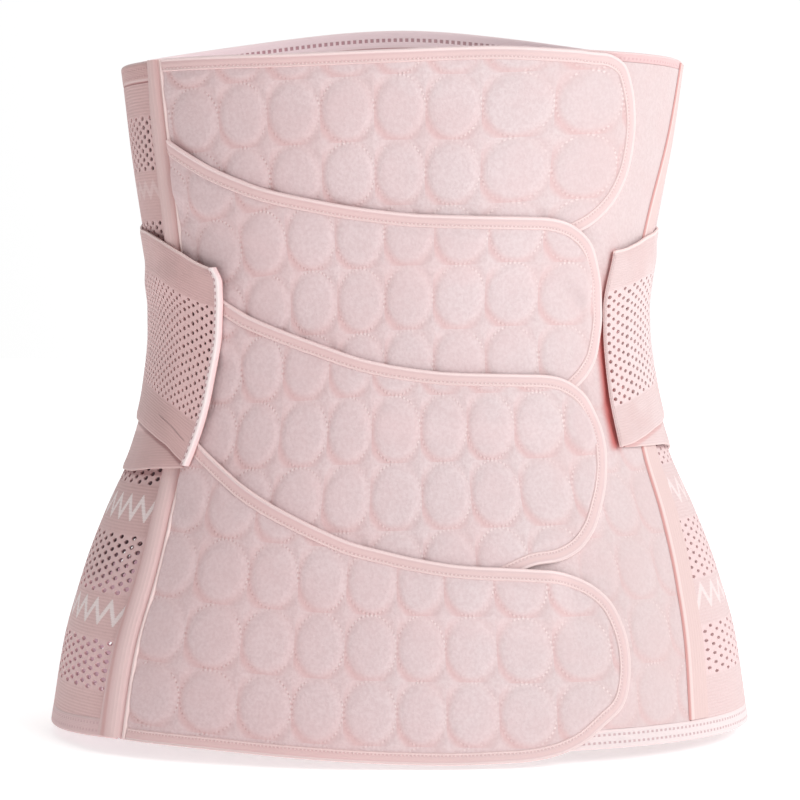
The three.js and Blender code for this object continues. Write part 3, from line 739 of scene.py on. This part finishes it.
def bound_edge(number):
    """A flap's bound edge as a dense chain of (angle, height): its top line, then a cubic through its end's points,
    and for the last flap on along the hem. Returns the chain, at each point the unit way out of the flap in degrees
    and mm, and the mm along."""
    top, end = flap_tops[number], np.array([(a, s * (rise if s > 0 else drop)) for a, s in flap_ends[number]])
    lead = np.arange(-57, end[0, 0] - 2.5, 3.0)
    parts = [np.stack([lead, top(lead)], -1), end]
    if number == last_flap:
        back = np.arange(26, -58, -3.0)
        back[-1] = -57
        parts.append(np.stack([back, last_hem(back)], -1))
    knots = np.concatenate(parts)
    scale = per_degree(knots[:, 0], knots[:, 1])
    gaps = np.hypot(np.diff(knots[:, 0]) * (scale[1:] + scale[:-1]) / 2, np.diff(knots[:, 1]))
    run = np.concatenate([[0], np.cumsum(gaps)])
    slope = np.gradient(knots, run, axis=0)
    fine = np.linspace(0, run[-1], int(run[-1] / 2.3))
    i = np.clip(np.searchsorted(run, fine) - 1, 0, len(run) - 2)
    w = (run[i + 1] - run[i])[:, None]
    t = ((fine - run[i])[:, None]) / w
    chain = ((1 + 2 * t) * (1 - t) ** 2 * knots[i] + t * (1 - t) ** 2 * w * slope[i]
             + t * t * (3 - 2 * t) * knots[i + 1] + t * t * (t - 1) * w * slope[i + 1])
    m = per_degree(chain[:, 0], chain[:, 1])
    step = np.gradient(chain, axis=0)
    dx, dz = step[:, 0] * m, step[:, 1]
    size = np.hypot(dx, dz)
    return chain, np.stack([-dz / size / m, dx / size], -1), fine


def lift(number, angle):
    """Height of the flap's under side where it lies on the flap above, falling to the panel's level at its end."""
    if settles[number] is None:
        return flap_base + 0 * angle
    first, last = settles[number]
    return flap_base + 2.5 * (1 - ease((angle - first) / (last - first)))


def quilted_flap(number):
    """The flap's cloth as a grid: columns of points between its lower and upper edge, just under the binding, close
    together towards the rounded end. The under side follows what it lies on, and the upper side is quilted."""
    chain, out, _ = bound_edge(number)
    past = np.arange(len(chain)) - int(np.argmax(chain[:, 0]))
    line = chain - (5.9 - 0.4 * ease((past + 3) / 4))[:, None] * out
    widest = int(np.argmax(line[:, 0]))
    upper, lower = line[:widest + 1], line[widest:]
    tip = line[widest, 0] - 0.03
    bend = tip - 12
    rounding = bend + (tip - bend) * np.sin(np.linspace(0, np.pi / 2, 30))
    at = np.concatenate([np.arange(left_place, bend, 0.58), rounding])
    z_top = np.interp(at, np.maximum.accumulate(upper[:, 0]), upper[:, 1])
    back = lower[::-1]
    z_low = np.interp(at, np.maximum.accumulate(back[:, 0]), back[:, 1])
    if number < last_flap:
        hidden = flap_tops[number + 1](at) - lap
        z_low = np.maximum(mix(hidden, z_low, ease((at - back[0, 0] + 9) / 9)), hidden)
    at, share = grid(at, np.linspace(0, 1, 84 if number == 0 else 72))
    z = mix(z_low[:, None], z_top[:, None], share)
    tall = (z_top - z_low)[:, None]
    shelf, foot = np.minimum(16, 0.34 * tall), np.minimum(27, 0.6 * tall)
    raised = ease((z - (z_top[:, None] - foot)) / (foot - shelf)) if number else 0 * z
    base = mix(flap_base, lift(number, at), raised)
    angle = hug(at, z, left_seam)
    column, row = columns[number](angle), (z - row_lines[number](angle)) / row_tall[number]
    edge = np.minimum(np.minimum(z_top[:, None] - z, (tip - at) * 2.2), z - z_low[:, None])
    relief = pillow(column, row) * ease(edge / 4)
    piece = layer(f"quilted_flap_{number + 1}", on(angle, z, base + 1.1 + 0.8 * relief), on(angle, z, base),
                  {"quilt": np.stack([column, row, 1 + 0 * z], -1)}, quilted_cotton)
    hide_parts(f"flap_{number + 1}")


for number in range(4):
    quilted_flap(number)

# Bindings
# Satin tape folded round the edge of each flap and sewn through near its inner side, so both edges stand up as
# thin bright lines, strengthened by painted highlights, with the tape sunk between them.
def binding_finish():
    """Satin tape, with painted highlights along both raised edges, a softer painted highlight down its hollow, and
    painted light that greys it towards the right. The mark strip holds mm along, mm across from the inner edge, and the
    full width.
    """
    f = Finish("satin_binding", 0.42, 0.1)
    along, across, _ = f.mark("strip")
    colour = f.blend(f.noise(70, 3), tone(225, 188, 188), tone(232, 197, 197))
    # Painted light: the tape is painted greyer towards the lit right.
    colour = f.tint(colour, f.times(f.step(f.rightward(), -0.05, 0.06), 0.5), 213, 198, 198)
    # Painted highlights: softly down the hollow, and strongly along the outer and inner edges.
    colour = f.tint(colour, f.times(f.line(across, 2.9, 0.2, 1.3), 0.5), 234, 203, 200)
    colour = f.tint(colour, f.times(f.line(across, 5.3, 0.5, 0.6), 0.75), 247, 226, 224)
    colour = f.tint(colour, f.times(f.line(across, 0.5, 0.35, 0.4), 0.6), 243, 219, 216)
    stitch = f.step(f.wave(along, 0.9), 0.3, 0.75)
    sewn = f.line(across, 1.35, 0.2, 0.3)
    colour = f.tint(colour, f.times(sewn, stitch, 0.5), 242, 218, 214)
    colour = f.tint(colour, f.times(sewn, f.rest(stitch), 0.25), 200, 150, 148)
    return f.done(colour, f.plus(f.times(sewn, stitch, 0.15), f.times(f.noise(1100, 1), 0.05)))


satin_binding = binding_finish()


binding_width = 6


def binding(number):
    """The tape's profile, two thin raised edges with a soft hollow between, folded over the edge to a flat back and
    carried along the bound edge. The lining is the same fold one wall inside."""
    chain, out, run = bound_edge(number)
    widest = int(np.argmax(chain[:, 0]))
    across = np.array([0, 0.03, 0.07, 0.11, 0.15, 0.2, 0.27, 0.36, 0.46, 0.56, 0.66, 0.75, 0.82, 0.88, 0.92, 0.96,
                       0.99, 1])
    beads = (0.22 * np.exp(-((across - 0.07) / 0.06) ** 2) + 0.45 * np.exp(-((across - 0.9) / 0.075) ** 2)
             + 0.25 * np.exp(-((across - 0.55) / 0.2) ** 2))
    rounded = np.sqrt(np.clip(1 - ((across - 0.9) / 0.102).clip(0, 1) ** 2, 0.12, 1))
    high = (0.8 + 0.2 * np.minimum(1, across / 0.06)) * (1.55 + beads) * rounded
    base = np.where(np.arange(len(chain)) > widest, flap_base, lift(number, chain[:, 0]))
    wall, inset = 0.45, np.minimum(across, 0.93)
    hollow = np.interp(inset, across, high)
    over, back = np.concatenate([across, across[::-1]]), np.zeros(len(across))
    shell = np.concatenate([high, back])
    lining = np.concatenate([np.maximum(hollow - wall, hollow / 2 + 0.02), np.minimum(wall, hollow / 2 - 0.02)[::-1]])

    def place(share, out_by):
        inward = binding_width * (1 - share[None, :])
        at, z = (chain[:, None, k] - out[:, None, k] * inward for k in (0, 1))
        at = np.maximum(at, left_place)
        return on(hug(at, z, left_seam), z, base[:, None] + out_by[None, :])
    marks = np.stack(np.broadcast_arrays(run[:, None], binding_width * over[None, :], float(binding_width)), -1)
    piece = layer(f"satin_binding_{number + 1}", place(over, shell),
                  place(np.concatenate([inset, inset[::-1]]), lining), {"strip": marks}, satin_binding)
    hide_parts(f"binding_{number + 1}")


for number, flat in enumerate([(0.41, 0.013), (0.37, 0.013), (0.46, 0.013), (0.71, 0.013)]):
    binding(number)

# Elastic bands
# Two woven elastic bands from the left tab round the back to the right tab, one on the other at
# the tabs and fanned apart at the back. Each has an open mesh along its middle and plain margins.
def elastic_finish():
    """Woven elastic with fine cords along it. The mark cloth holds mm along, mm up from the band's middle, and how
    open it is, or 3 where it lies behind the upper band and is painted dark as shade. The mark near holds mm below
    the upper band, where a painted shadow line runs, mm from the left end, where a crease runs beside the mesh and
    is painted darker as shade, and 1 on the right end's turned edge, which is painted coral as shade."""
    f = Finish("woven_elastic", 0.85, 0.3)
    along, up, mesh = f.mark("cloth")
    # Painted light: a lit tone on the right, a shaded tone on the left.
    colour = f.sides(along, (222, 200, 199), (224, 185, 183))
    colour = f.tint(colour, f.times(f.step(f.noise(60, 4), 0.3, 0.7), 0.3), 206, 168, 165)
    cord = f.wave(up, 0.65)
    solid = f.line(mesh, 0.0, 0.1, 0.5)
    colour = f.tint(colour, f.times(cord, solid, 0.12), 190, 148, 146)
    # Open mesh tone, painted lit on the right and shaded on the left.
    open_tone = f.sides(along, (236, 214, 214), (249, 212, 211))
    colour = f.blend(f.times(f.step(mesh, 0.3, 0.9), 0.5), colour, open_tone)
    colour = f.tint(colour, f.times(f.line(up, 46.7, 0.5, 0.5), 0.75), 248, 224, 220)
    colour = f.tint(colour, f.times(f.line(up, -46.8, 0.3, 0.3), 0.4), 242, 214, 210)
    # Painted shade: dark where the band lies behind the upper band's mesh.
    colour = f.blend(f.step(mesh, 1.5, 2.5), colour, f.sides(along, (226, 176, 176), (104, 58, 64)))
    below_upper, from_end, turned = f.mark("near")
    # Painted shadow line just below the upper band's edge.
    shadow = f.times(f.line(below_upper, 0.0, 1.5, 1.5), 0.6)
    colour = f.blend(shadow, colour, f.sides(along, (206, 156, 154), (140, 86, 88)))
    # Painted shade: coral on the right fold's edge wall and under side.
    colour = f.tint(colour, turned, 246, 146, 138)
    slanted = f.plus(up, f.times(from_end, -0.1))
    crease = f.times(f.line(slanted, -38.7, 0.1, 0.45), f.line(from_end, 14.0, 8.0, 5.0))
    # Painted shade in the crease.
    colour = f.tint(colour, f.times(crease, 0.45), 140, 98, 98)
    return f.done(colour, f.less(f.times(cord, solid, 0.09), f.times(crease, 0.25)))


woven_elastic = elastic_finish()
left_end = smooth([(-0.37, -52.9), (-0.26, -50.9), (-0.16, -49.6), (-0.05, -48.4), (0.11, -48.1), (0.165, -49.4)])
band_out = smooth([(57, 1.7), (62, 2.1), (67, 2.6), (75.5, 2.6), (80, 1.8), (86, 1.75), (180, 1.75), (280, 1.75),
                   (286, 2.4), (290, 3.6), (294, 5.0), (298, 6.5), (301, 7.2), (304, 7.1), (320, 7.1)])
band_end, left_bend, right_bend, mesh_half = 309, 301, 72, 29


def right_cut(z):
    """Degrees by which the right tab's end is cut back: most at its top corner, none at its middle."""
    share = (z - upper_middle(tab_end)) / band_half
    return 1.5 * ease((share - 0.35) / 0.65) ** 1.5 + 0.5 * ease((-share - 0.3) / 0.7)


def elastic_band(name, node, first, middle, raised, hidden):
    """The band as a grid, mm along by mm across, laid on the casings and the knit at its own distance from the body.
    Its holes stand in staggered columns, large and small in turn."""
    places, run = arc_places(first, band_end, -12.0, 1.08, lambda angle: 1 + 0.45 * ease((105 - angle) / 25))
    at, up = grid(places, np.linspace(-band_half, band_half, 43))
    z = middle(at) + up
    behind_roll = left_end(share_of(z)) + 360 - 2.85 / per_degree(-49.0, z)
    angle = np.where(at > left_bend, mix(left_bend, behind_roll, (at - left_bend) / (band_end - left_bend)), at)
    to_cut = mix(right_bend, first + right_cut(z), (right_bend - at) / (right_bend - first))
    angle = np.where(at < right_bend, to_cut, angle)
    out = band_out(at) + raised(at, z)
    i, j = grid(np.arange(at.shape[0]), np.arange(43))
    open_zone = np.abs(up) < mesh_half
    under_other = hidden(at, z)
    wanted = open_zone & (i % 2 == 1) & ((j + i // 2) % 2 == 0) & ~under_other
    wanted[:1], wanted[-1:], wanted[:, :2], wanted[:, -2:] = False, False, False, False
    hi, hj = np.nonzero(wanted)
    large = hi % 4 == 1
    # 3 marks where this band lies behind the upper band's mesh, which is painted dark as shade.
    mesh = np.where(under_other & (z > upper_middle(at) - 36), 3.0, open_zone)
    cloth = np.stack([np.broadcast_to(run[:, None], z.shape), up, mesh], -1)
    far = 99 + 0 * z
    # mm below the upper band's edge, for the painted shadow line.
    near = ([upper_middle(at) - band_half - z, far] if under_other.any() else [far, run[-1] - run[:, None] + 0 * z])
    soft = 1.3 - 0.35 * ease((np.abs(up) - 45.6) / 1.4)
    piece = layer(name, on(angle, z, out + soft), on(angle, z, out),
                  {"cloth": cloth, "near": np.stack([*near, 0 * z], -1)}, woven_elastic,
                  (hi, hj), (np.where(large, 0.78, 0.66), np.where(large, 0.46, 0.38)))
    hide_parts(node)
    return piece


def over_lower(at, z):
    """The upper band's rise where it lies on the lower one, and its fall to the knit above that one's edge."""
    return mix(0.1, 1.35 + 0.45 * ease((at - 62) / 4), ease((lower_middle(at) + 58 - z) / 13))


lower_band = elastic_band("lower_elastic", "lower_band", 59.1, lower_middle, lambda at, z: 0.0,
                          lambda at, z: z > upper_middle(at) - 52)
upper_band = elastic_band("upper_elastic", "upper_band", 57.85, upper_middle, over_lower,
                          lambda at, z: np.zeros(z.shape, bool))

# Band ends
# The turned and bound ends that hold the two bands together at the tabs: a whitish rolled tape on
# the left, and a plain fold on the right.
def rolled_finish():
    """A bound end with small stitches along it, and a painted highlight along the top of the roll. The mark strip
    holds mm along, mm across, and 0 beneath to 1 on top: the under side is painted salmon as shade."""
    f = Finish("white_rolled_end", 0.7, 0.2)
    along, across, top = f.mark("strip")
    colour = f.blend(f.noise(120, 3), tone(236, 211, 211), tone(244, 219, 219))
    stitch = f.step(f.wave(along, 1.6), 0.35, 0.7)
    # Painted highlight along the top of the roll.
    colour = f.tint(colour, f.times(f.line(across, 1.2, 0.5, 0.6), 0.8), 250, 236, 235)
    # Painted shade: salmon on the under side.
    colour = f.tint(colour, f.less(0.8, f.times(f.step(top, 0.2, 0.7), 0.8)), 218, 158, 154)
    sewn = f.times(f.line(across, 2.2, 0.2, 0.3), stitch)
    colour = f.tint(colour, f.times(sewn, 0.75), 178, 122, 126)
    return f.done(colour, f.times(f.less(f.noise(800, 2), sewn), 0.12))


roll_middle, roll_half, roll_width, roll_low, roll_thick = float(upper_middle(band_end)) - 0.9, 47.9, 2.7, 7.1, 3.15
z, across = grid(np.linspace(roll_middle - roll_half, roll_middle + roll_half, 90), np.linspace(0, 1, 13))
front = left_end(share_of(z))
angle = front - roll_width * across / per_degree(front, z)
high = roll_thick * (0.3 + 0.7 * np.sqrt(np.clip(1 - (1 - across / 0.45).clip(0, 1) ** 2, 0, 1)))
# 0 beneath, for the painted salmon shade on the under side.
marks = tuple(np.stack([z, 2.8 * across, top + 0 * z], -1) for top in (1, 0))
left_roll = layer("left_rolled_end", on(angle, z, roll_low + high), on(angle, z, roll_low + 0 * z), {"strip": marks},
                  rolled_finish())
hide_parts("band_end_left")
fold_at, fold_base = 57.2, 1.7
up, across = grid(np.linspace(band_half, -band_half, 70), np.linspace(0, 1, 9))
z = upper_middle(57.4) + up
angle = fold_at + right_cut(z) + 0.6 * across
rounded = 2.65 * np.sqrt(np.clip(1 - (1 - across / 0.7).clip(0, 1) ** 2, 0.5, 1))
# 1 on the fold's edge wall and under side, for the painted coral shade.
near = tuple(np.stack([99 + 0 * z, 99 + 0 * z, turned + 0 * z], -1) for turned in ((across == 0) * 1.0, 1.0))
right_fold = layer("right_folded_end", on(angle, z, fold_base + rounded), on(angle + 1.2, z, fold_base + 0 * z),
                   {"cloth": np.stack([across, up, 0 * z], -1), "near": near}, woven_elastic)
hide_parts("band_end_right")
